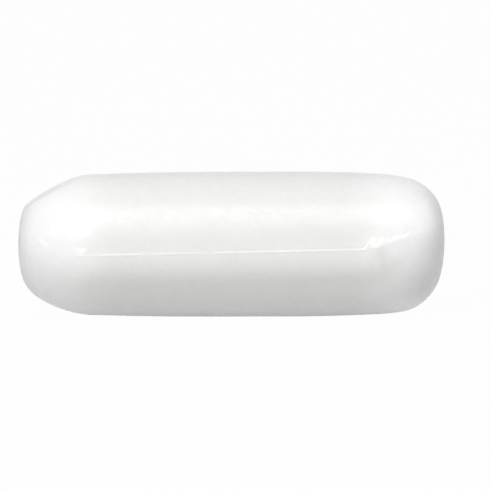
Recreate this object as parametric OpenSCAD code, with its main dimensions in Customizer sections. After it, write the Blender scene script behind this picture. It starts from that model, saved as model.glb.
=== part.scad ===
// Magnetic stir bar: a rod magnet sealed for good inside a moulded PTFE jacket
// with a slightly crowned barrel and blunt domed ends.
// Lengths are in millimetres and angles in degrees. The bar's axis is X, its
// middle is the origin, and the two mould halves met close to the plane z = 0.

/* [Bar] */
// Length over the two domed ends
bar_len = 15; // [14:0.5:40]
// Diameter of the barrel where it is fullest
bar_d = 5.1; // [4.8:0.1:6]
// Length of the straight land that the barrel is fullest along
land_len = 2.4; // [1:0.1:3]
// How far the middle of the land lies towards the right-hand (+X) end
land_shift = 0.8; // [-0.8:0.1:0.8]

/* [Ends] */
// Length of each end, from its tip back to where it leaves the barrel
end_len = 2.5; // [2.3:0.1:2.6]
// Radius of the shallow dome on each tip
dome_r = 5.1; // [4.6:0.1:7]

/* [Right end] */
// How much the barrel's radius falls from the land to the right end
right_fall = 0.065; // [0.02:0.005:0.1]
// Radius of the right shoulder
right_shoulder_r = 7; // [5:0.1:10]
// Radius of the round corner between the right shoulder and its dome
right_corner_r = 1.7; // [1.2:0.05:1.8]

/* [Left end] */
// How much the barrel's radius falls from the land to the left end
left_fall = 0.075; // [0.02:0.005:0.1]
// Turn of the surface at the faint edge where the left end leaves the barrel
left_edge_turn = 3; // [0:0.5:5]
// Radius of the left shoulder
left_shoulder_r = 4; // [3.8:0.1:6]
// Radius of the round corner between the left shoulder and its dome
left_corner_r = 1.4; // [1:0.05:1.6]
// Depth of the flat pressed on top of the left corner
flat_depth = 0.18; // [0.05:0.01:0.3]
// Angle from the bar's axis to the direction in which that flat faces
flat_facing = 59.5; // [50:0.5:65]

/* [Parting bead] */
// Width of the fine bead that the joint of the mould left along the barrel
bead_w = 0.06; // [0.04:0.01:0.12]
// How far the bead stands proud
bead_h = 0.03; // [0.02:0.01:0.06]
// Distance of the bead's left end from the left tip
bead_left = 2; // [1.6:0.1:4]
// Distance of the bead's right end from the right tip
bead_right = 2.8; // [1.6:0.1:4]
// Angle by which the bead runs askew of the axis, rising to the right
bead_askew = 1.1; // [-1.5:0.1:1.5]

/* [Magnet] */
// Thickness of the jacket round the magnet, at the land
side_wall = 1.05; // [0.8:0.05:1.4]
// Thickness of the jacket between each end of the magnet and the tip
end_wall = 2.5; // [1.2:0.1:3]
// Radius of the magnet's tumbled edges
magnet_edge_r = 0.3; // [0.1:0.05:0.5]
// Clearance all round the magnet: none where the jacket has shrunk on to it
magnet_gap = 0; // [0:0.01:0.05]

/* [Hidden] */
$fn = 96;

// Largest turn between neighbouring points of an arc
arc_step = 3;

half_len = bar_len / 2;
bar_r = bar_d / 2;
// Each end is drawn towards +X, and the left one is then mirrored
right_land = land_len / 2 + land_shift;
left_land = land_len / 2 - land_shift;
pocket_r = bar_r - side_wall;
pocket_len = bar_len - 2 * end_wall;

// Point at a distance from a centre, in the direction of an angle
function polar(centre, distance, angle) = centre + distance * [cos(angle), sin(angle)];

// Angle at which one point is seen from another
function bearing(from, to) = atan2(to.y - from.y, to.x - from.x);

// Radius of an arc that falls by a given amount over a given run from its crest
function radius_of_fall(run, fall) = (run^2 + fall^2) / (2 * fall);

// Points of an arc from one angle round to just before another
function arc(centre, radius, from, to) =
    let (steps = ceil(abs(to - from) / arc_step))
    [for (i = [0:1:steps - 1]) polar(centre, radius, from + (to - from) * i / steps)];

// Outer one of the two points at distance da from a and distance db from b
function triangulate(a, da, b, db) =
    let (
        base = norm(b - a),
        along = (da^2 - db^2 + base^2) / (2 * base),
        across = sqrt(da^2 - along^2),
        dir = (b - a) / base
    )
    a + along * dir + across * [abs(dir.y), abs(dir.x)];

// Outline of one end, from the land round to the tip, as [distance along the axis, radius].
// It is a chain of arcs: taper, shoulder, corner and dome. Each one touches the next,
// apart from the shoulder, which may leave the taper at a faint edge.
function end_outline(land, fall, edge_turn, shoulder_r, corner_r, proud) =
    let (
        run = half_len - end_len - land,
        taper_r = radius_of_fall(run, fall),
        taper_c = [land, bar_r - taper_r],
        edge_angle = acos(run / taper_r),
        shoulder_angle = edge_angle - edge_turn,
        shoulder_c = polar([land + run, bar_r - fall], -shoulder_r, shoulder_angle),
        dome_c = [half_len - dome_r, 0],
        corner_c = triangulate(dome_c, dome_r - corner_r, shoulder_c, shoulder_r - corner_r),
        corner_angle = bearing(shoulder_c, corner_c),
        dome_angle = bearing(dome_c, corner_c)
    )
    concat(
        arc(taper_c, taper_r + proud, 90, edge_angle),
        arc(shoulder_c, shoulder_r + proud, shoulder_angle, corner_angle),
        arc(corner_c, corner_r + proud, corner_angle, dome_angle),
        arc(dome_c, dome_r + proud, dome_angle, 0),
        [[half_len + proud, 0]]
    );

function right_outline(proud = 0) =
    end_outline(right_land, right_fall, 0, right_shoulder_r, right_corner_r, proud);

function left_outline(proud = 0) =
    end_outline(left_land, left_fall, left_edge_turn, left_shoulder_r, left_corner_r, proud);

// Half section of the whole bar above its axis, from the right land to the left one
function half_section(proud = 0) =
    let (left = left_outline(proud), last = len(left) - 1)
    concat(right_outline(proud), [for (i = [last:-1:0]) [-left[i].x, left[i].y]]);

// Solid turned about the X axis from a half section
module turned(section) {
    rotate([0, 90, 0])
        rotate_extrude()
            polygon([for (p = section) [p.y, p.x]]);
}

// Plain rod on the X axis with rounded edges
module rod(r, length, edge_r) {
    rim = length / 2 - edge_r;
    turned(concat(
        [[length / 2, 0]],
        arc([rim, r - edge_r], edge_r, 0, 90),
        [[rim, r], [-rim, r]],
        arc([-rim, r - edge_r], edge_r, 90, 180),
        [[-length / 2, r - edge_r], [-length / 2, 0]]
    ));
}

// Beads on the front and back of the barrel, where the mould halves met
module parting_bead() {
    root = bar_r - side_wall / 2;
    rotate([0, -bead_askew, 0])
        linear_extrude(height = bead_w, center = true)
            for (side = [0, 1])
                mirror([0, side])
                    intersection() {
                        polygon(half_section(bead_h));
                        translate([bead_left - half_len, root])
                            square([bar_len - bead_left - bead_right, bar_r]);
                    }
}

// Everything beyond the flat on top of the left corner
module beyond_flat() {
    facing = [cos(flat_facing), sin(flat_facing)];
    reach = max([for (p = left_outline()) p * facing]);
    rotate([0, 180 + flat_facing, 0])
        translate([reach - flat_depth, -bar_r, -half_len])
            cube([bar_d, bar_d, bar_len]);
}

module jacket() {
    color("white")
        difference() {
            union() {
                turned(half_section());
                parting_bead();
            }
            beyond_flat();
            rod(pocket_r, pocket_len, magnet_edge_r + magnet_gap);
        }
}

module magnet() {
    color("dimgray")
        rod(pocket_r - magnet_gap, pocket_len - 2 * magnet_gap, magnet_edge_r);
}

jacket();
magnet();
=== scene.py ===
"""Magnetic stir bar: a moulded PTFE jacket round a cast rod magnet, dressed and lit.

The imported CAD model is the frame. The jacket is made again here with the finer forms of
the moulding: the lean and the soft swells of one dome, the pressed flat on the other end,
what the two mould halves left (a fine bead, torn flash and burrs along their parting line,
their draft and a fuller lower flank) and the slight unevenness of the skin. The magnet is
the CAD node itself, with a finish of its own.

All lengths are in metres. The bar lies along X, its middle is the origin, the mould
parted near z = 0, and angles round the bar are in degrees from its front (-Y) upwards.
"""

from __future__ import annotations

import logging
import math
from collections.abc import Iterable
from dataclasses import dataclass, field
from enum import Enum

import bmesh
import bpy
from mathutils import Matrix, Quaternion, Vector, noise


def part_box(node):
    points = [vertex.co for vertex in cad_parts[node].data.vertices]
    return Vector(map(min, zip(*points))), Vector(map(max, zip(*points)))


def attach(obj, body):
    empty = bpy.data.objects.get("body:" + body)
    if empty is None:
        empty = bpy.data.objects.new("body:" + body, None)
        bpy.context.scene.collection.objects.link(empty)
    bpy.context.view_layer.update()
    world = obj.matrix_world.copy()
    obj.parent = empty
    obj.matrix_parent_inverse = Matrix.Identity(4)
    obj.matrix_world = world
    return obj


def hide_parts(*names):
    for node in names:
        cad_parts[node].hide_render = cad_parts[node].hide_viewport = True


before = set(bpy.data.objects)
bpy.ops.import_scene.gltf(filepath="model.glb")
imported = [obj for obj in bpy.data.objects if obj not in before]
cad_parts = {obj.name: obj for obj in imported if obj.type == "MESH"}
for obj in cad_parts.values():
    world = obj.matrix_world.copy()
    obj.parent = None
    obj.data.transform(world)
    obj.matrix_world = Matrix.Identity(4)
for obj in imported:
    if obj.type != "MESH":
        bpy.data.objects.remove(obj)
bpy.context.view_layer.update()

log = logging.getLogger("stir_bar")

MM = 0.001
AXIS_X = Vector((1.0, 0.0, 0.0))
WHITE = (1.0, 1.0, 1.0, 1.0)


class End(Enum):
    """Which end of the bar a form belongs to, as the sign of its X."""

    LEFT = -1
    RIGHT = 1


class Flank(Enum):
    """Which flank of the bar a parting line runs along, as its angle round the bar."""

    FRONT = 0.0
    BACK = 180.0

    @property
    def upwards(self) -> float:
        """Sign of a turn that goes up this flank."""
        return 1.0 if self is Flank.FRONT else -1.0


def smoothstep(low: float, high: float, value: float) -> float:
    """Ease a value from 0 at one limit to 1 at the other.

    Args:
        low: Value at which the result is 0.
        high: Value at which the result is 1.
        value: Value to ease.

    Returns:
        The eased share, from 0 to 1.
    """
    share = min(1.0, max(0.0, (value - low) / (high - low)))
    return share * share * (3.0 - 2.0 * share)


def hump(offset: float, half_width: float) -> float:
    """Height of a smooth hump that is 1 in its middle and 0 from its half width on."""
    share = min(1.0, abs(offset) / half_width)
    return (1.0 - share * share) ** 2


def turn_between(angle: float, other: float) -> float:
    """Shortest turn in degrees from one angle to another, from -180 to 180."""
    return (other - angle + 180.0) % 360.0 - 180.0


def linear(hex_colour: str) -> tuple[float, float, float, float]:
    """Turn an sRGB hex colour into the linear colour that a shader takes.

    Args:
        hex_colour: Six hex digits, such as "F2F2F0".

    Returns:
        Red, green, blue and an alpha of 1.
    """
    channels = [int(hex_colour[i : i + 2], 16) / 255.0 for i in (0, 2, 4)]
    red, green, blue = (c / 12.92 if c <= 0.04045 else ((c + 0.055) / 1.055) ** 2.4 for c in channels)
    return red, green, blue, 1.0


def add_node(
    tree: bpy.types.NodeTree,
    kind: str,
    settings: dict[str | int, object] | None = None,
    links: dict[str | int, bpy.types.NodeSocket] | None = None,
) -> bpy.types.Node:
    """Add a node with its settings and links.

    Args:
        tree: Node tree that the node is added to.
        kind: Blender's name for the kind of node, such as "ShaderNodeMix".
        settings: Properties by name, and values of input sockets by name or number.
        links: Output sockets to link, by the name or number of the input they feed.

    Returns:
        The new node.
    """
    node = tree.nodes.new(kind)
    for key, value in (settings or {}).items():
        if isinstance(key, str) and hasattr(node, key):
            setattr(node, key, value)
        else:
            node.inputs[key].default_value = value
    for key, output in (links or {}).items():
        tree.links.new(output, node.inputs[key])
    return node


def empty_material(name: str) -> bpy.types.Material:
    """Make a material with no nodes in it yet.

    Args:
        name: Name of the material.

    Returns:
        The new material.
    """
    material = bpy.data.materials.new(name)
    material.use_nodes = True
    material.node_tree.nodes.clear()
    return material


def make_object(bm: bmesh.types.BMesh, name: str, material: bpy.types.Material) -> bpy.types.Object:
    """Turn a finished mesh into an object at the origin.

    Args:
        bm: Mesh of the piece, which is freed.
        name: Name of the object and of its mesh.
        material: Material of all its faces.

    Returns:
        The new object.
    """
    mesh = bpy.data.meshes.new(name)
    bm.to_mesh(mesh)
    bm.free()
    mesh.materials.append(material)
    piece = bpy.data.objects.new(name, mesh)
    bpy.context.scene.collection.objects.link(piece)
    return piece


# ---------------------------------------------------------------- finishes


@dataclass(frozen=True)
class MouldedPtfe:
    """PTFE, compression moulded and sintered, then fused tight round the magnet.

    To the eye it is a soft, waxy white: light goes a little way into it, so its shadows
    are gentle, and its skin has a satin gloss that the grain of the sintered powder
    breaks up. Over the dark magnet the thin wall is drawn a shade greyer than the solid
    ends, partly as the dark core showing through and partly as painted shade.

    Each range holds the two noise values between which a pattern goes over from none to
    full, and each blend says how soon its effect sets in as the skin turns away.
    """

    core_half_len: float
    # Over the magnet the wall takes the greyer core shade colour: partly the dark core showing
    # through, partly painted shade.
    core_shade_fade: float = 1.2 * MM
    name: str = "ptfe_moulded_sintered"
    solid_colour: str = "FAFAF9"
    core_shade_colour: str = "ECECEB"
    mottle_size: float = 0.9 * MM
    mottle_dip: float = 0.015
    mottle_range: tuple[float, float] = (0.3, 0.7)
    # The sintered powder's own grain is finer, and is drawn this coarse to show.
    grain_size: float = 0.17 * MM
    skin_grain_depth: float = 0.010 * MM
    inner_grain_depth: float = 0.005 * MM
    gloss_weight: float = 0.6
    gloss_roughness: float = 0.24
    gloss_refraction: float = 1.5
    # The gloss comes and goes in patches little wider than the drawn grain.
    patch_size: float = 0.2 * MM
    patch_spread: float = 0.2
    patch_range: tuple[float, float] = (0.4, 0.6)
    aslant_blend: float = 0.3
    grazing_blend: float = 0.1
    grazing_gloss: float = 0.2
    glow_share: float = 0.35
    glow_depth: float = 0.18 * MM

    def colour(
        self, tree: bpy.types.NodeTree, place: bpy.types.NodeSocket
    ) -> bpy.types.NodeSocket:
        """Add the mottled colour, greyer over the magnet from its core and painted shade.

        Args:
            tree: Node tree of the material.
            place: Object coordinates.

        Returns:
            The colour's output socket.
        """
        axes = add_node(tree, "ShaderNodeSeparateXYZ", {}, {0: place})
        from_middle = add_node(
            tree, "ShaderNodeMath", {"operation": "ABSOLUTE"}, {0: axes.outputs["X"]}
        )
        past_core_shade = add_node(
            tree,
            "ShaderNodeMapRange",
            {
                "interpolation_type": "SMOOTHSTEP",
                "From Min": self.core_half_len - self.core_shade_fade,
                "From Max": self.core_half_len + self.core_shade_fade,
            },
            {"Value": from_middle.outputs[0]},
        )
        # Greyer over the magnet: partly the dark core showing through the thin wall, partly painted
        # shade.
        plain = add_node(
            tree,
            "ShaderNodeMix",
            {"data_type": "RGBA", 6: linear(self.core_shade_colour), 7: linear(self.solid_colour)},
            {0: past_core_shade.outputs["Result"]},
        )
        mottle = add_node(
            tree,
            "ShaderNodeTexNoise",
            {"Scale": 1.0 / self.mottle_size, "Detail": 3.0, "Roughness": 0.5},
            {"Vector": place},
        )
        shade = add_node(
            tree,
            "ShaderNodeMapRange",
            {
                "From Min": self.mottle_range[0],
                "From Max": self.mottle_range[1],
                "To Min": 1.0 - self.mottle_dip,
                "To Max": 1.0,
            },
            {"Value": mottle.outputs["Fac"]},
        )
        mottled = add_node(
            tree,
            "ShaderNodeMix",
            {"data_type": "RGBA", "blend_type": "MULTIPLY", 0: 1.0},
            {6: plain.outputs[2], 7: shade.outputs["Result"]},
        )
        return mottled.outputs[2]

    def grain(
        self, tree: bpy.types.NodeTree, place: bpy.types.NodeSocket
    ) -> list[bpy.types.NodeSocket]:
        """Add the grain of the powder as two bumps, on the skin and just within.

        Args:
            tree: Node tree of the material.
            place: Object coordinates.

        Returns:
            The normals for the gloss on the skin and for the light from within.
        """
        grain = add_node(
            tree,
            "ShaderNodeTexNoise",
            {"Scale": 1.0 / self.grain_size, "Detail": 1.0, "Roughness": 0.5},
            {"Vector": place},
        )
        bumps = [
            add_node(
                tree,
                "ShaderNodeBump",
                {"Strength": 1.0, "Distance": depth},
                {"Height": grain.outputs["Fac"]},
            )
            for depth in (self.skin_grain_depth, self.inner_grain_depth)
        ]
        return [bump.outputs["Normal"] for bump in bumps]

    def gloss(
        self, tree: bpy.types.NodeTree, place: bpy.types.NodeSocket
    ) -> bpy.types.NodeSocket:
        """Add the share of gloss, which is patchy and depends on the angle of view.

        Args:
            tree: Node tree of the material.
            place: Object coordinates.

        Returns:
            The gloss weight's output socket.
        """
        patches = add_node(
            tree,
            "ShaderNodeTexNoise",
            {"Scale": 1.0 / self.patch_size, "Detail": 1.0, "Roughness": 0.5},
            {"Vector": place},
        )
        patchy = add_node(
            tree,
            "ShaderNodeMapRange",
            {
                "From Min": self.patch_range[0],
                "From Max": self.patch_range[1],
                "To Min": self.gloss_weight - self.patch_spread,
                "To Max": self.gloss_weight + self.patch_spread,
            },
            {"Value": patches.outputs["Fac"]},
        )
        # Seen at a low angle the patches run together.
        aslant = add_node(tree, "ShaderNodeLayerWeight", {"Blend": self.aslant_blend})
        evened = add_node(
            tree,
            "ShaderNodeMix",
            {"data_type": "FLOAT", 3: self.gloss_weight},
            {0: aslant.outputs["Facing"], 2: patchy.outputs["Result"]},
        )
        # Lower still, the grains stand in each other's way and hide the gloss.
        grazing = add_node(tree, "ShaderNodeLayerWeight", {"Blend": self.grazing_blend})
        hidden = add_node(
            tree,
            "ShaderNodeMix",
            {"data_type": "FLOAT", 3: self.grazing_gloss},
            {0: grazing.outputs["Facing"], 2: evened.outputs[0]},
        )
        return hidden.outputs[0]

    def make(self) -> bpy.types.Material:
        """Build the material.

        The gloss lies on the skin and follows its grain. The light that comes back from
        within has spread, and hardly shows the grain, so the gloss is a coat of its own.
        Its even weight is set too, for a viewer that can't follow the patches.

        Returns:
            A new material that reads the piece's own Object coordinates.
        """
        material = empty_material(self.name)
        tree = material.node_tree
        place = add_node(tree, "ShaderNodeTexCoord").outputs["Object"]
        on_skin, within = self.grain(tree, place)
        skin = add_node(
            tree,
            "ShaderNodeBsdfPrincipled",
            {
                "subsurface_method": "RANDOM_WALK",
                "Metallic": 0.0,
                "Roughness": 1.0,
                "Specular IOR Level": 0.0,
                "Subsurface Weight": self.glow_share,
                "Subsurface Radius": (1.0, 1.0, 1.0),
                "Subsurface Scale": self.glow_depth,
                "Coat Weight": self.gloss_weight,
                "Coat Roughness": self.gloss_roughness,
                "Coat IOR": self.gloss_refraction,
            },
            {
                "Base Color": self.colour(tree, place),
                "Normal": within,
                "Coat Weight": self.gloss(tree, place),
                "Coat Normal": on_skin,
            },
        )
        add_node(tree, "ShaderNodeOutputMaterial", {}, {"Surface": skin.outputs["BSDF"]})
        return material


@dataclass(frozen=True)
class CastAlnico:
    """Aluminium-nickel-cobalt magnet alloy, cast in sand and tumbled.

    To the eye it is a dark, brownish grey metal with a fine pitted skin, brighter where
    the tumbling has rubbed it. The range holds the noise values of pits and rubbed skin.
    """

    name: str = "alnico_cast_tumbled"
    colour: str = "8C8A86"
    pit_colour: str = "5A5854"
    pit_size: float = 0.25 * MM
    pit_depth: float = 0.01 * MM
    pit_range: tuple[float, float] = (0.35, 0.6)
    roughness: float = 0.42
    rough_spread: float = 0.12

    def make(self) -> bpy.types.Material:
        """Build the material.

        Returns:
            A new material that reads the node's own Object coordinates.
        """
        material = empty_material(self.name)
        tree = material.node_tree
        place = add_node(tree, "ShaderNodeTexCoord").outputs["Object"]
        pits = add_node(
            tree,
            "ShaderNodeTexNoise",
            {"Scale": 1.0 / self.pit_size, "Detail": 4.0, "Roughness": 0.65},
            {"Vector": place},
        )
        rubbed = add_node(
            tree,
            "ShaderNodeMapRange",
            {
                "From Min": self.pit_range[0],
                "From Max": self.pit_range[1],
                "To Min": 0.0,
                "To Max": 1.0,
            },
            {"Value": pits.outputs["Fac"]},
        )
        colour = add_node(
            tree,
            "ShaderNodeMix",
            {"data_type": "RGBA", 6: linear(self.pit_colour), 7: linear(self.colour)},
            {0: rubbed.outputs["Result"]},
        )
        roughness = add_node(
            tree,
            "ShaderNodeMapRange",
            {
                "From Min": 0.0,
                "From Max": 1.0,
                "To Min": self.roughness + self.rough_spread,
                "To Max": self.roughness - self.rough_spread,
            },
            {"Value": rubbed.outputs["Result"]},
        )
        bump = add_node(
            tree,
            "ShaderNodeBump",
            {"Strength": 1.0, "Distance": self.pit_depth},
            {"Height": pits.outputs["Fac"]},
        )
        metal = add_node(
            tree,
            "ShaderNodeBsdfPrincipled",
            {"Metallic": 1.0},
            {
                "Base Color": colour.outputs[2],
                "Roughness": roughness.outputs["Result"],
                "Normal": bump.outputs["Normal"],
            },
        )
        add_node(tree, "ShaderNodeOutputMaterial", {}, {"Surface": metal.outputs["BSDF"]})
        return material


def seen_directly(tree: bpy.types.NodeTree) -> bpy.types.NodeSocket:
    """Add the test for rays from the camera, straight or by way of gloss or glass.

    Args:
        tree: Node tree that the test is added to.

    Returns:
        An output that is 1 for those rays and 0 for the light that falls on things.
    """
    path = add_node(tree, "ShaderNodeLightPath")
    gloss = add_node(
        tree,
        "ShaderNodeMath",
        {"operation": "MAXIMUM"},
        {0: path.outputs["Is Camera Ray"], 1: path.outputs["Is Glossy Ray"]},
    )
    glass = add_node(
        tree,
        "ShaderNodeMath",
        {"operation": "MAXIMUM"},
        {0: gloss.outputs[0], 1: path.outputs["Is Transmission Ray"]},
    )
    return glass.outputs[0]


@dataclass(frozen=True)
class OpalSheet:
    """Opal acrylic sheet with a matt face, which lets a part of the light through.

    To the eye it is plain white with only a faint soft shadow. For the light that falls
    on the bar it is an ordinary pale surface, which softens the bar's underside.
    """

    name: str = "acrylic_opal_matt"
    colour: str = "D8D8D8"
    through_share: float = 0.4
    white_share: float = 0.97

    def make(self) -> bpy.types.Material:
        """Build the material: the sheet, seen mostly as the plain white background.

        Returns:
            A new material for the floor.
        """
        material = empty_material(self.name)
        tree = material.node_tree
        face = add_node(tree, "ShaderNodeBsdfDiffuse", {"Color": linear(self.colour)})
        through = add_node(tree, "ShaderNodeBsdfTranslucent", {"Color": linear(self.colour)})
        sheet = add_node(
            tree,
            "ShaderNodeMixShader",
            {0: self.through_share},
            {1: face.outputs[0], 2: through.outputs[0]},
        )
        white = add_node(tree, "ShaderNodeEmission", {"Color": WHITE, "Strength": 1.0})
        seen = add_node(
            tree,
            "ShaderNodeMath",
            {"operation": "MULTIPLY", 1: self.white_share},
            {0: seen_directly(tree)},
        )
        floor = add_node(
            tree,
            "ShaderNodeMixShader",
            {},
            {0: seen.outputs[0], 1: sheet.outputs[0], 2: white.outputs[0]},
        )
        add_node(tree, "ShaderNodeOutputMaterial", {}, {"Surface": floor.outputs[0]})
        return material


# ---------------------------------------------------------------- forms of the jacket


@dataclass(frozen=True)
class Arc:
    """One arc of the half outline of an end, drawn towards the tip.

    The angles are in degrees from the bar's axis, and fall from start to stop.
    """

    centre_x: float
    centre_r: float
    radius: float
    start: float
    stop: float

    @property
    def turn(self) -> float:
        """Angle in degrees that the arc turns through."""
        return self.start - self.stop

    @property
    def length(self) -> float:
        """Length along the arc."""
        return self.radius * math.radians(self.turn)


@dataclass(frozen=True)
class EndForm:
    """Sizes of one end of the bar, from the land round to its tip.

    It is a chain of arcs, each touching the next: taper, shoulder, corner and dome. Only
    the shoulder may leave the taper at a faint edge. The land is given from the bar's
    middle, and the fall is how much radius the taper loses.
    """

    end: End
    land: float
    fall: float
    edge_turn: float
    shoulder_r: float
    corner_r: float

    def arcs(self, half_len: float, bar_r: float, end_len: float, dome_r: float) -> list[Arc]:
        """Work out the arcs of the half outline.

        Args:
            half_len: Half the bar's length.
            bar_r: Radius of the barrel at the land.
            end_len: Length of the end, from the tip to where it leaves the barrel.
            dome_r: Radius of the dome on the tip.

        Returns:
            The arcs in order from the land to the tip.
        """
        run = half_len - end_len - self.land
        taper_r = (run**2 + self.fall**2) / (2.0 * self.fall)
        edge = math.degrees(math.acos(run / taper_r))
        shoulder = edge - self.edge_turn
        shoulder_x = self.land + run - self.shoulder_r * math.cos(math.radians(shoulder))
        shoulder_y = bar_r - self.fall - self.shoulder_r * math.sin(math.radians(shoulder))
        dome_x = half_len - dome_r
        # Arcs that touch have centres as far apart as their radii differ, so the corner's
        # centre is where two circles round the dome's and the shoulder's centres cross.
        to_dome = dome_r - self.corner_r
        to_shoulder = self.shoulder_r - self.corner_r
        across_x, across_y = shoulder_x - dome_x, shoulder_y
        base = math.hypot(across_x, across_y)
        along = (to_dome**2 - to_shoulder**2 + base**2) / (2.0 * base)
        out = math.sqrt(to_dome**2 - along**2)
        corner_x = dome_x + (along * across_x + out * abs(across_y)) / base
        corner_y = (along * across_y + out * abs(across_x)) / base
        corner = math.degrees(math.atan2(corner_y - shoulder_y, corner_x - shoulder_x))
        dome = math.degrees(math.atan2(corner_y, corner_x - dome_x))
        return [
            Arc(self.land, bar_r - taper_r, taper_r, 90.0, edge),
            Arc(shoulder_x, shoulder_y, self.shoulder_r, shoulder, corner),
            Arc(corner_x, corner_y, self.corner_r, corner, dome),
            Arc(dome_x, 0.0, dome_r, dome, 0.0),
        ]


@dataclass(frozen=True)
class PressedFlat:
    """The slightly crowned flat pressed on the upper corner of the left end.

    It faces left and up, in degrees above the axis. Its edge is soft, and grows crisper
    towards the tip. Points that lie many edge widths below it are left alone.
    """

    depth: float = 0.166 * MM
    facing: float = 58.3
    crown_r: float = 8.0 * MM
    soft_edge: float = 0.03 * MM
    crisp_edge: float = 0.006 * MM
    crisp_from: float = 6.6 * MM
    crisp_full: float = 7.1 * MM
    edges_deep: float = 10.0

    @property
    def direction(self) -> Vector:
        """Direction in which the flat faces, towards the left and up."""
        angle = math.radians(self.facing)
        return Vector((-math.cos(angle), 0.0, math.sin(angle)))

    def crown_centre(self, outline: Iterable[Vector]) -> Vector:
        """Find the middle of the crown's circle.

        Args:
            outline: Points of the upper outline of the bar, in the XZ plane.

        Returns:
            The centre, in the XZ plane.
        """
        peak = max(outline, key=self.direction.dot)
        return peak - self.direction * (self.depth + self.crown_r)

    def press(self, point: Vector, centre: Vector) -> Vector:
        """Push a point in to the flat where it stands outside it.

        Args:
            point: Point on the jacket's skin.
            centre: Middle of the crown's circle.

        Returns:
            The point, moved against the flat's facing.
        """
        proud = math.hypot(point.x - centre.x, point.z - centre.z) - self.crown_r
        crisp = smoothstep(self.crisp_from, self.crisp_full, -point.x)
        soft = self.soft_edge + (self.crisp_edge - self.soft_edge) * crisp
        if point.x > 0.0 or proud < -self.edges_deep * soft:
            return point
        return point - self.direction * (0.5 * (proud + math.hypot(proud, soft)))


@dataclass(frozen=True)
class DomeLean:
    """The slight lean of the right dome, whose upper half stands further out."""

    slope: float = 0.03
    begins: float = 4.9 * MM
    full: float = 7.0 * MM

    def shift(self, point: Vector) -> Vector:
        """Move a point along the bar with the lean."""
        share = smoothstep(self.begins, self.full, point.x)
        return Vector((point.x + self.slope * point.z * share, point.y, point.z))


@dataclass(frozen=True)
class DomeSwell:
    """A soft swell of the right dome, or a hollow where its height is below zero."""

    x: float
    angle: float
    half_size: float
    height: float

    def lift(self, x: float, angle: float, radius: float) -> float:
        """Height of the swell at a point of the skin.

        Args:
            x: Place along the bar.
            angle: Degrees round the bar.
            radius: Distance from the bar's axis.

        Returns:
            How far the skin stands out there.
        """
        along = x - self.x
        across = math.radians(turn_between(self.angle, angle)) * radius
        return self.height * hump(math.hypot(along, across), self.half_size)


@dataclass(frozen=True)
class PartingLine:
    """The line where the two mould halves met along one flank of the bar.

    It runs a hair askew, from one angle at the left tip to another at the right. On the
    front it also steps up at the right shoulder, jogs up once more and climbs over the
    dome. All turns are in degrees round the bar.
    """

    flank: Flank
    left_angle: float
    right_angle: float
    step_turn: float = 0.0
    step_from: float = 4.62 * MM
    step_to: float = 4.95 * MM
    jog_turn: float = 0.0
    jog_from: float = 5.58 * MM
    jog_to: float = 5.75 * MM
    climb_turn: float = 0.0
    climb_power: float = 1.6
    climb_to: float = 7.0 * MM

    def angle(self, x: float, half_len: float) -> float:
        """Angle of the line round the bar, above the flank's middle.

        Args:
            x: Place along the bar.
            half_len: Half the bar's length.

        Returns:
            Degrees above the middle of the flank.
        """
        share = 0.5 * (1.0 + x / half_len)
        askew = self.left_angle + (self.right_angle - self.left_angle) * share
        step = self.step_turn * smoothstep(self.step_from, self.step_to, x)
        jog = self.jog_turn * smoothstep(self.jog_from, self.jog_to, x)
        climb = max(0.0, x - self.step_to) / (self.climb_to - self.step_to)
        return askew + step + jog + self.climb_turn * climb**self.climb_power

    def above(self, angle: float, x: float, half_len: float) -> float:
        """Work out how far round the bar a place lies above the line.

        Args:
            angle: Degrees round the bar.
            x: Place along the bar.
            half_len: Half the bar's length.

        Returns:
            Degrees above the line, on the line's own flank.
        """
        up = self.flank.upwards * turn_between(self.flank.value, angle)
        return up - self.angle(x, half_len)


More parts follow.
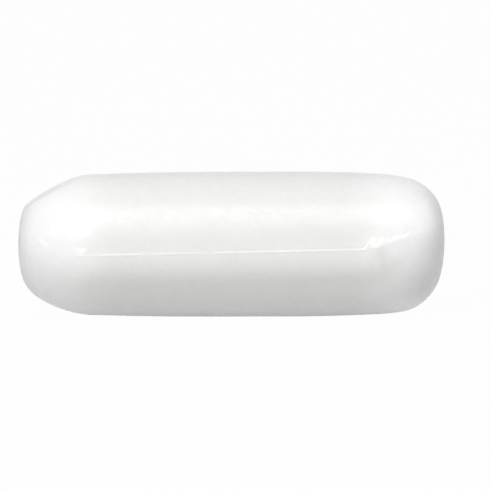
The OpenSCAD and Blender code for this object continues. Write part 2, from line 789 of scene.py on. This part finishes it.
@dataclass(frozen=True)
class MouldHalves:
    """What the two mould halves left: a slight mismatch, their draft and a fine bead.

    The upper half sits a hair further back than the lower one, so there is a tiny step
    along each parting line, with a bead along it. Here and there the bead all but
    vanishes and the step is smeared wider. Both fade out on the ends. The draft makes the
    halves fullest at the line, and the lower half is a little fuller still below it.
    """

    mismatch: float = 0.014 * MM
    riser: float = 0.06 * MM
    draft: float = 0.013 * MM
    draft_reach: float = 0.5 * MM
    fullness: float = 0.072 * MM
    full_below: float = 0.6 * MM
    full_reach: float = 0.95 * MM
    full_to: float = 5.0 * MM
    full_end: float = 6.4 * MM
    bead_height: float = 0.008 * MM
    bead_half_width: float = 0.035 * MM
    ripple: float = 0.6
    ripple_size: float = 0.6 * MM
    # The phase is a place in the noise, and sets where the line is smeared.
    gap_share: float = 0.8
    gap_size: float = 1.0 * MM
    gap_phase: float = 44.4
    gap_edge: float = 0.3
    smear: float = 3.0
    left_end: float = -6.2 * MM
    left_full: float = -3.8 * MM
    right_full: float = 6.2 * MM
    right_end: float = 6.8 * MM

    def present(self, x: float) -> float:
        """Share of the step and bead that is there at a place along the bar."""
        fade = smoothstep(self.left_end, self.left_full, x)
        return fade * (1.0 - smoothstep(self.right_full, self.right_end, x))

    def gap(self, x: float) -> float:
        """Share by which the line is smeared out at a place along the bar."""
        wave = noise.noise(AXIS_X * (x / self.gap_size + self.gap_phase))
        return self.gap_share * smoothstep(0.0, self.gap_edge, wave)

    def shift(self, x: float, across: float) -> float:
        """How far back the mismatch sets a point that lies a distance above the line."""
        half = self.riser / 2.0 * (1.0 + self.smear * self.gap(x))
        return self.mismatch * self.present(x) * smoothstep(-half, half, across)

    def lift(self, x: float, across: float) -> float:
        """Height of the bead, the draft and the fuller half at a point of the skin.

        Args:
            x: Place along the bar.
            across: Distance above the parting line, along the skin.

        Returns:
            How far the skin stands out there.
        """
        wave = 1.0 + self.ripple * noise.noise(AXIS_X * (x / self.ripple_size))
        bead = self.bead_height * wave * hump(across + self.riser / 2.0, self.bead_half_width)
        draft = self.draft * math.exp(-abs(across) / self.draft_reach)
        barrel = 1.0 - smoothstep(self.full_to, self.full_end, abs(x))
        full = self.fullness * barrel * hump(across + self.full_below, self.full_reach)
        return self.present(x) * (1.0 - self.gap(x)) * bead + draft + full


@dataclass(frozen=True)
class TornFlash:
    """The lip of torn flash that stands up along the parting line at the right shoulder.

    It is widest just past where the shoulder begins, and its upper edge is torn. Its
    steepness is the height of its crest over its width. Below the crest it runs out over a
    foot, which is short where the flash begins and long on the dome.
    """

    from_x: float = 4.7 * MM
    full_x: float = 4.88 * MM
    thin_x: float = 5.45 * MM
    to_x: float = 6.7 * MM
    steepness: float = 0.42
    short_foot: float = 0.35 * MM
    long_foot: float = 1.6 * MM
    long_from_x: float = 6.4 * MM
    widest_x: float = 5.07 * MM
    widest_reach: float = 0.45 * MM
    wide_lip: float = 0.31 * MM
    narrow_lip: float = 0.11 * MM
    # No tear reaches further up than this, however wide.
    reach: float = 0.62 * MM
    # The phase is a place in the noise, and sets where the edge is torn back.
    ragged: float = 1.3
    least_tear: float = 0.1
    tear_size: float = 0.15 * MM
    tear_phase: float = 154.3
    grit: float = 0.25
    grit_size: float = 0.07 * MM

    def lift(self, x: float, across: float) -> float:
        """Height of the flash at a point of the skin.

        Args:
            x: Place along the bar.
            across: Distance above the parting line, along the skin.

        Returns:
            How far the skin stands out there.
        """
        present = smoothstep(self.from_x, self.full_x, x)
        present *= 1.0 - smoothstep(self.thin_x, self.to_x, x)
        if present == 0.0 or across > self.reach:
            return 0.0
        wide = hump(x - self.widest_x, self.widest_reach)
        lip = self.narrow_lip + (self.wide_lip - self.narrow_lip) * wide
        height = self.steepness * lip * present
        past_crest = across + lip / 2.0
        if past_crest < 0.0:
            longer = smoothstep(self.from_x, self.long_from_x, x)
            foot = self.short_foot + (self.long_foot - self.short_foot) * longer
            return height * math.exp(past_crest / foot)
        wave = noise.noise(AXIS_X * (x / self.tear_size + self.tear_phase))
        tear = max(self.least_tear, 1.0 + self.ragged * wave)
        rise = max(0.0, 1.0 - past_crest / (lip * tear))
        rough = noise.noise(Vector((x / self.grit_size, across / self.grit_size, 0.0)))
        return height * rise * (1.0 + self.grit * rough * (1.0 - rise))


@dataclass(frozen=True)
class Burr:
    """A small ragged patch of flash beside the parting line.

    Its crest lies at a place along the bar and up from the line, and may slant. The rise
    and the fall are how far the burr reaches below and above the crest.
    """

    x: float
    up: float
    half_length: float
    rise: float
    fall: float
    height: float
    slant: float = 0.0
    ragged: float = 0.5
    grit_size: float = 0.12 * MM

    def lift(self, x: float, across: float) -> float:
        """Height of the burr at a point of the skin.

        Args:
            x: Place along the bar.
            across: Distance above the parting line, along the skin.

        Returns:
            How far the skin stands out there.
        """
        along = x - self.x
        past = across - self.up - self.slant * along
        body = hump(along, self.half_length) * hump(past, self.fall if past > 0.0 else self.rise)
        if body == 0.0:
            return 0.0
        # The last coordinate gives each burr a noise of its own.
        tear = noise.noise(Vector((x / self.grit_size, across / self.grit_size, self.x / MM)))
        return self.height * body * (1.0 + self.ragged * tear)


@dataclass(frozen=True)
class SkinUnevenness:
    """The slight unevenness of the moulded skin, which breaks up its gloss."""

    broad_size: float = 0.9 * MM
    broad_depth: float = 0.0035 * MM
    fine_size: float = 0.36 * MM
    fine_depth: float = 0.0012 * MM

    def lift(self, point: Vector) -> float:
        """Height of the unevenness at a point of the skin."""
        broad = self.broad_depth * noise.noise(point / self.broad_size)
        return broad + self.fine_depth * noise.noise(point / self.fine_size)


@dataclass(frozen=True)
class Sector:
    """A stretch of the turn round the bar, in degrees, and its number of equal steps."""

    turn: float
    steps: int


# ---------------------------------------------------------------- sub-assemblies


@dataclass
class Magnet:
    """The rod magnet inside the jacket, given by the two corners of its box.

    Its shape is the CAD node's own.
    """

    lo: Vector
    hi: Vector
    edge_r: float = 0.3 * MM
    finish: CastAlnico = field(default_factory=CastAlnico)

    @property
    def length(self) -> float:
        """Length of the rod."""
        return self.hi.x - self.lo.x

    @property
    def radius(self) -> float:
        """Radius of the rod."""
        return (self.hi.z - self.lo.z) / 2.0

    def dress(self) -> bpy.types.Object:
        """Give the CAD node its finish.

        Returns:
            The CAD node's object.
        """
        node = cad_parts["magnet"]
        material = self.finish.make()
        for slot in node.material_slots:
            slot.link = "OBJECT"
            slot.material = material
        return node


@dataclass
class Jacket:
    """The one-piece PTFE jacket: its skin, and the pocket that the magnet fills."""

    bar_len: float
    bar_d: float
    land_len: float = 2.4 * MM
    land_shift: float = 0.8 * MM
    end_len: float = 2.5 * MM
    dome_r: float = 5.1 * MM
    # Nearer the axis than the bare radius the tips stay plain domes. From the dressed
    # radius on, all that stands out has its full height.
    bare_tip_r: float = 0.3 * MM
    dressed_tip_r: float = 0.9 * MM
    # Along the outline the points stand closer on the right end, where the flash is. The
    # last turn ends on the axis. A sweep is done when it is within the turn slack.
    ring_gap: float = 0.085 * MM
    close_gap: float = 0.04 * MM
    close_from: float = 4.5 * MM
    tip_turn: float = 1.6
    turn_slack: float = 1e-6
    # Points within the weld gap are merged. An edge of the pocket lies on its rim when
    # its ends are within the rim slack along the bar.
    weld_gap: float = 0.00015 * MM
    rim_slack: float = 0.001 * MM
    # Round the bar the points stand closest on the middle of the flanks. Up to the medium
    # turn they follow the parting line, and up to the follow turn less and less.
    follow_turn: float = 80.0
    fine_turn: float = 3.6
    fine_step: float = 0.3
    medium_turn: float = 12.0
    medium_step: float = 0.7
    coarse_step: float = 1.6
    pocket_sectors: int = 96
    edge_steps: int = 8
    skin: SkinUnevenness = field(default_factory=SkinUnevenness)
    flat: PressedFlat = field(default_factory=PressedFlat)
    lean: DomeLean = field(default_factory=DomeLean)
    swells: tuple[DomeSwell, ...] = (
        DomeSwell(x=7.0 * MM, angle=18.0, half_size=0.8 * MM, height=0.055 * MM),
        DomeSwell(x=6.4 * MM, angle=-72.0, half_size=1.4 * MM, height=0.042 * MM),
        DomeSwell(x=6.15 * MM, angle=75.0, half_size=1.3 * MM, height=-0.04 * MM),
    )
    halves: MouldHalves = field(default_factory=MouldHalves)
    lines: tuple[PartingLine, ...] = (
        PartingLine(
            Flank.FRONT,
            left_angle=-3.3,
            right_angle=3.2,
            step_turn=4.8,
            jog_turn=1.2,
            climb_turn=11.8,
        ),
        PartingLine(Flank.BACK, left_angle=-3.3, right_angle=3.2),
    )
    flash: TornFlash = field(default_factory=TornFlash)
    burrs: tuple[Burr, ...] = (
        Burr(
            x=5.2 * MM,
            up=-0.2 * MM,
            half_length=0.42 * MM,
            rise=0.2 * MM,
            fall=0.05 * MM,
            height=0.006 * MM,
        ),
        Burr(
            x=6.28 * MM,
            up=0.06 * MM,
            half_length=0.1 * MM,
            rise=0.15 * MM,
            fall=0.07 * MM,
            height=0.015 * MM,
        ),
        Burr(
            x=-5.26 * MM,
            up=0.05 * MM,
            half_length=0.32 * MM,
            rise=0.8 * MM,
            fall=0.2 * MM,
            height=0.035 * MM,
        ),
        Burr(
            x=-6.65 * MM,
            up=0.38 * MM,
            half_length=0.25 * MM,
            rise=0.4 * MM,
            fall=0.07 * MM,
            height=0.02 * MM,
            slant=-0.5,
        ),
    )
    half_len: float = field(init=False)
    bar_r: float = field(init=False)
    ends: tuple[EndForm, ...] = field(init=False)

    def __post_init__(self) -> None:
        """Work out the forms that hang on the driving sizes."""
        self.half_len = self.bar_len / 2.0
        self.bar_r = self.bar_d / 2.0
        left = EndForm(
            end=End.LEFT,
            land=self.land_len / 2.0 - self.land_shift,
            fall=0.075 * MM,
            edge_turn=3.0,
            shoulder_r=4.0 * MM,
            corner_r=1.4 * MM,
        )
        right = EndForm(
            end=End.RIGHT,
            land=self.land_len / 2.0 + self.land_shift,
            fall=0.065 * MM,
            edge_turn=0.0,
            shoulder_r=7.0 * MM,
            corner_r=1.7 * MM,
        )
        self.ends = (left, right)

    # -- the skin

    def draw_end(self, bm: bmesh.types.BMesh, form: EndForm, start: bmesh.types.BMVert) -> None:
        """Sweep the half outline of one end from the land to its tip.

        Args:
            bm: Mesh that holds the outline.
            form: Sizes of the end.
            start: Vertex at that end of the land.
        """
        sign = form.end.value
        last = start
        for arc in form.arcs(self.half_len, self.bar_r, self.end_len, self.dome_r):
            tip = self.tip_turn if arc.stop == 0.0 else 0.0
            sweep = arc.turn - tip
            centre = Vector((sign * arc.centre_x, 0.0, arc.centre_r))
            done = 0.0
            while done < sweep - self.turn_slack:
                # The gap changes on the way, so each step is worked out anew.
                close = form.end is End.RIGHT and last.co.x > self.close_from
                gap = self.close_gap if close else self.ring_gap
                steps = max(1, round((sweep - done) * arc.length / arc.turn / gap))
                turn = (sweep - done) / steps
                last = self.swing(bm, last, centre, sign * turn)
                done += turn
            if tip:
                last = self.swing(bm, last, centre, sign * tip)
                last.co.z = 0.0

    @staticmethod
    def swing(
        bm: bmesh.types.BMesh, vert: bmesh.types.BMVert, centre: Vector, turn: float
    ) -> bmesh.types.BMVert:
        """Draw one edge by swinging a vertex about a centre in the XZ plane.

        Args:
            bm: Mesh that holds the vertex.
            vert: Vertex that the edge starts from.
            centre: Point that it swings about.
            turn: Degrees about +Y.

        Returns:
            The vertex at the far end of the edge.
        """
        tip = bmesh.ops.extrude_vert_indiv(bm, verts=[vert])["verts"][0]
        turned = Matrix.Rotation(math.radians(turn), 3, "Y")
        bmesh.ops.rotate(bm, verts=[tip], cent=centre, matrix=turned)
        return tip

    def sectors(self) -> list[Sector]:
        """List the sectors of a quarter turn, from the top down to the front.

        Returns:
            Sectors that grow finer towards the front flank.
        """
        coarse_turn = 90.0 - self.medium_turn
        medium_turn = self.medium_turn - self.fine_turn
        return [
            Sector(coarse_turn, round(coarse_turn / self.coarse_step)),
            Sector(medium_turn, round(medium_turn / self.medium_step)),
            Sector(self.fine_turn, round(self.fine_turn / self.fine_step)),
        ]

    def turned_skin(self, bm: bmesh.types.BMesh) -> None:
        """Turn the whole half outline round the bar's axis.

        The outline is spun through a quarter turn, which is then mirrored twice.

        Args:
            bm: Empty mesh, which gets the closed skin.
        """
        starts = [
            bm.verts.new((form.end.value * form.land, 0.0, self.bar_r)) for form in self.ends
        ]
        for form, start in zip(self.ends, starts):
            self.draw_end(bm, form, start)
        land = bm.edges.new(starts)
        bmesh.ops.subdivide_edges(bm, edges=[land], cuts=round(self.land_len / self.ring_gap))
        rim = bm.verts[:] + bm.edges[:]
        for sector in self.sectors():
            made = bmesh.ops.spin(
                bm,
                geom=rim,
                cent=Vector(),
                axis=AXIS_X,
                angle=math.radians(sector.turn),
                steps=sector.steps,
            )
            rim = made["geom_last"]
        for axis in "ZY":
            bmesh.ops.mirror(bm, geom=bm.verts[:] + bm.edges[:] + bm.faces[:], axis=axis)
        bmesh.ops.remove_doubles(bm, verts=bm.verts, dist=self.weld_gap)
        bmesh.ops.recalc_face_normals(bm, faces=bm.faces)

    def follow_line(self, point: Vector) -> tuple[Vector, float]:
        """Turn a point of the plain skin so that the fine sectors follow the parting lines.

        Args:
            point: Point on the turned skin.

        Returns:
            The point in its new place, and the height of all that stands out there.
        """
        radius = math.hypot(point.y, point.z)
        if radius < self.bare_tip_r:
            return point, 0.0
        angle = math.degrees(math.atan2(point.z, -point.y))
        line = next(
            each for each in self.lines if abs(turn_between(each.flank.value, angle)) <= 90.0
        )
        side = abs(turn_between(line.flank.value, angle))
        rise = line.flank.upwards * line.angle(point.x, self.half_len)
        angle += rise * (1.0 - smoothstep(self.medium_turn, self.follow_turn, side))
        across = math.radians(line.above(angle, point.x, self.half_len)) * radius
        lift = self.halves.lift(point.x, across)
        lift += sum(swell.lift(point.x, angle, radius) for swell in self.swells)
        if line.flank is Flank.FRONT:
            lift += self.flash.lift(point.x, across)
            lift += sum(burr.lift(point.x, across) for burr in self.burrs)
        turned = math.radians(angle)
        place = Vector((point.x, -radius * math.cos(turned), radius * math.sin(turned)))
        place.y += self.halves.shift(point.x, across)
        return place, lift * smoothstep(self.bare_tip_r, self.dressed_tip_r, radius)

    def shape_skin(self, bm: bmesh.types.BMesh) -> None:
        """Give the turned skin its lean, its flat and all that stands out on it.

        Args:
            bm: Mesh of the plain turned skin.
        """
        centre = self.flat.crown_centre(v.co for v in bm.verts if v.co.x < 0.0 < v.co.z)
        lifts = []
        for vert in bm.verts:
            place, lift = self.follow_line(vert.co)
            lifts.append(lift + self.skin.lift(place))
            vert.co = self.flat.press(self.lean.shift(place), centre)
        bm.normal_update()
        # All normals are read before the first point moves.
        moves = [vert.normal * lift for vert, lift in zip(bm.verts, lifts)]
        for vert, move in zip(bm.verts, moves):
            vert.co += move

    # -- the pocket

    def add_pocket(self, bm: bmesh.types.BMesh, magnet: Magnet) -> None:
        """Add the wall of the closed pocket, which has shrunk on to the magnet.

        Args:
            bm: Mesh of the skin, which gets the pocket's wall as a second shell.
            magnet: The magnet, whose size the pocket has.
        """
        made = bmesh.ops.create_cone(
            bm,
            cap_ends=True,
            segments=self.pocket_sectors,
            radius1=magnet.radius,
            radius2=magnet.radius,
            depth=magnet.length,
            matrix=Matrix.Rotation(math.radians(90.0), 4, "Y"),
        )
        verts = set(made["verts"])
        rims = [
            edge
            for edge in bm.edges
            if edge.verts[0] in verts
            and edge.verts[1] in verts
            and abs(edge.verts[0].co.x - edge.verts[1].co.x) < self.rim_slack
        ]
        bevelled = bmesh.ops.bevel(
            bm,
            geom=rims,
            offset=magnet.edge_r,
            offset_type="OFFSET",
            affect="EDGES",
            segments=self.edge_steps,
            profile=0.5,
            material=-1,
        )
        # The wall faces away from the PTFE, into the pocket.
        near = {v for v in verts if v.is_valid} | set(bevelled["verts"])
        wall = [f for f in bm.faces if any(v in near for v in f.verts)]
        bmesh.ops.reverse_faces(bm, faces=wall)

    # -- the whole piece

    def build(self, magnet: Magnet) -> bpy.types.Object:
        """Build and dress the jacket.

        Args:
            magnet: The magnet, whose size the pocket has.

        Returns:
            The jacket's object, riding on the frame.
        """
        bm = bmesh.new()
        self.turned_skin(bm)
        self.shape_skin(bm)
        self.add_pocket(bm, magnet)
        for face in bm.faces:
            face.smooth = True
        finish = MouldedPtfe(core_half_len=magnet.length / 2.0)
        piece = make_object(bm, "jacket_moulded", finish.make())
        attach(piece, "root")
        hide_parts("jacket")
        return piece


# ---------------------------------------------------------------- studio


def direction(azimuth: float, elevation: float) -> Vector:
    """Unit vector from the bar towards a place round it.

    Args:
        azimuth: Degrees round from the front (-Y) towards the right (+X).
        elevation: Degrees above the horizon.

    Returns:
        The direction.
    """
    around, up = math.radians(azimuth), math.radians(elevation)
    return Vector((math.sin(around) * math.cos(up), -math.cos(around) * math.cos(up), math.sin(up)))


@dataclass(frozen=True)
class SoftBox:
    """An evenly lit oblong soft light that faces the bar.

    One that isn't in the gloss fills the shadows and leaves no reflection of its own.
    """

    name: str
    azimuth: float
    elevation: float
    width: float
    height: float
    power: float
    distance: float = 0.3
    in_gloss: bool = True

    def hang(self) -> bpy.types.Object:
        """Make the light.

        Returns:
            The light's object.
        """
        lamp = bpy.data.lights.new(self.name, "AREA")
        lamp.shape = "RECTANGLE"
        lamp.size, lamp.size_y = self.width, self.height
        lamp.energy = self.power
        lamp_object = bpy.data.objects.new(self.name, lamp)
        away = direction(self.azimuth, self.elevation)
        lamp_object.rotation_mode = "QUATERNION"
        lamp_object.rotation_quaternion = away.to_track_quat("Z", "Y")
        lamp_object.location = away * self.distance
        lamp_object.visible_camera = False
        lamp_object.visible_glossy = self.in_gloss
        bpy.context.scene.collection.objects.link(lamp_object)
        return lamp_object


@dataclass
class Studio:
    """Floor, lights, surroundings and camera."""

    floor_z: float
    floor_size: float = 1.6
    # The picture is square. The bar's middle is given in pixels from its top left corner.
    picture_side: int = 490
    bar_middle: tuple[float, float] = (231.4, 244.2)
    pixels_per_mm: float = 28.41
    camera_distance: float = 0.4
    camera_elevation: float = 6.3
    camera_roll: float = -0.16
    sheet: OpalSheet = field(default_factory=OpalSheet)
    lights: tuple[SoftBox, ...] = (
        SoftBox("key_left", azimuth=-26.0, elevation=34.0, width=0.16, height=0.12, power=0.49),
        SoftBox("low_left", azimuth=-100.0, elevation=12.0, width=0.2, height=0.12, power=0.045),
        SoftBox("front_top", azimuth=0.0, elevation=56.5, width=0.2, height=0.15, power=0.33),
        SoftBox("strip_top", azimuth=0.0, elevation=62.5, width=0.2, height=0.025, power=0.02),
        SoftBox("top_right", azimuth=50.0, elevation=49.0, width=0.28, height=0.12, power=0.15),
        SoftBox("rim_right", azimuth=112.0, elevation=34.0, width=0.12, height=0.12, power=0.1),
        SoftBox(
            "back_low",
            azimuth=180.0,
            elevation=8.0,
            width=0.14,
            height=0.06,
            power=0.3,
            in_gloss=False,
        ),
    )

    def lay_floor(self) -> bpy.types.Object:
        """Lay the sheet that the bar rests on.

        Returns:
            The floor's object.
        """
        bm = bmesh.new()
        bmesh.ops.create_grid(
            bm,
            x_segments=1,
            y_segments=1,
            size=self.floor_size / 2.0,
            matrix=Matrix.Translation((0.0, 0.0, self.floor_z)),
        )
        floor = make_object(bm, "floor", self.sheet.make())
        return floor

    @staticmethod
    def surround() -> bpy.types.World:
        """Make the surroundings, which are plain white to see and give no light.

        Returns:
            The scene's world.
        """
        world = bpy.data.worlds.new("studio")
        bpy.context.scene.world = world
        world.use_nodes = True
        tree = world.node_tree
        tree.nodes.clear()
        plain = add_node(
            tree,
            "ShaderNodeBackground",
            {"Color": WHITE},
            {"Strength": seen_directly(tree)},
        )
        add_node(tree, "ShaderNodeOutputWorld", {}, {"Surface": plain.outputs[0]})
        return world

    def place_camera(self) -> bpy.types.Object:
        """Set the long-lens camera in front of the bar and a little above it.

        Returns:
            The camera's object.
        """
        lens = bpy.data.cameras.new("camera")
        width = self.picture_side / self.pixels_per_mm * MM
        lens.lens = lens.sensor_width * self.camera_distance / width
        lens.clip_start, lens.clip_end = 0.05, 5.0
        back = direction(0.0, self.camera_elevation)
        roll = Quaternion((0.0, 0.0, 1.0), math.radians(self.camera_roll))
        turn = back.to_track_quat("Z", "Y") @ roll
        middle = self.picture_side / 2.0
        right = (middle - self.bar_middle[0]) / self.pixels_per_mm * MM
        up = (self.bar_middle[1] - middle) / self.pixels_per_mm * MM
        camera = bpy.data.objects.new("camera", lens)
        camera.rotation_mode = "QUATERNION"
        camera.rotation_quaternion = turn
        camera.location = back * self.camera_distance + turn @ Vector((right, up, 0.0))
        bpy.context.scene.collection.objects.link(camera)
        bpy.context.scene.camera = camera
        return camera

    def build(self) -> list[bpy.types.Object]:
        """Make the whole studio.

        Returns:
            The floor, the lights and the camera.
        """
        bpy.context.scene.view_settings.view_transform = "Standard"
        self.surround()
        return [self.lay_floor(), *(light.hang() for light in self.lights), self.place_camera()]


def main() -> None:
    """Build the magnet, the jacket and the studio in order, and report each piece."""
    logging.basicConfig(level=logging.INFO, format="%(name)s: %(message)s")
    lo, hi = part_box("jacket")
    magnet = Magnet(*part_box("magnet"))
    jacket = Jacket(bar_len=hi.x - lo.x, bar_d=hi.z - lo.z)
    studio = Studio(floor_z=-jacket.bar_r)
    for piece in (magnet.dress(), jacket.build(magnet)):
        finish = piece.active_material.name
        log.info("%s: %d faces, %s", piece.name, len(piece.data.polygons), finish)
    for item in studio.build():
        log.info("%s: %s", item.name, item.type.lower())


if __name__ == "__main__":
    main()
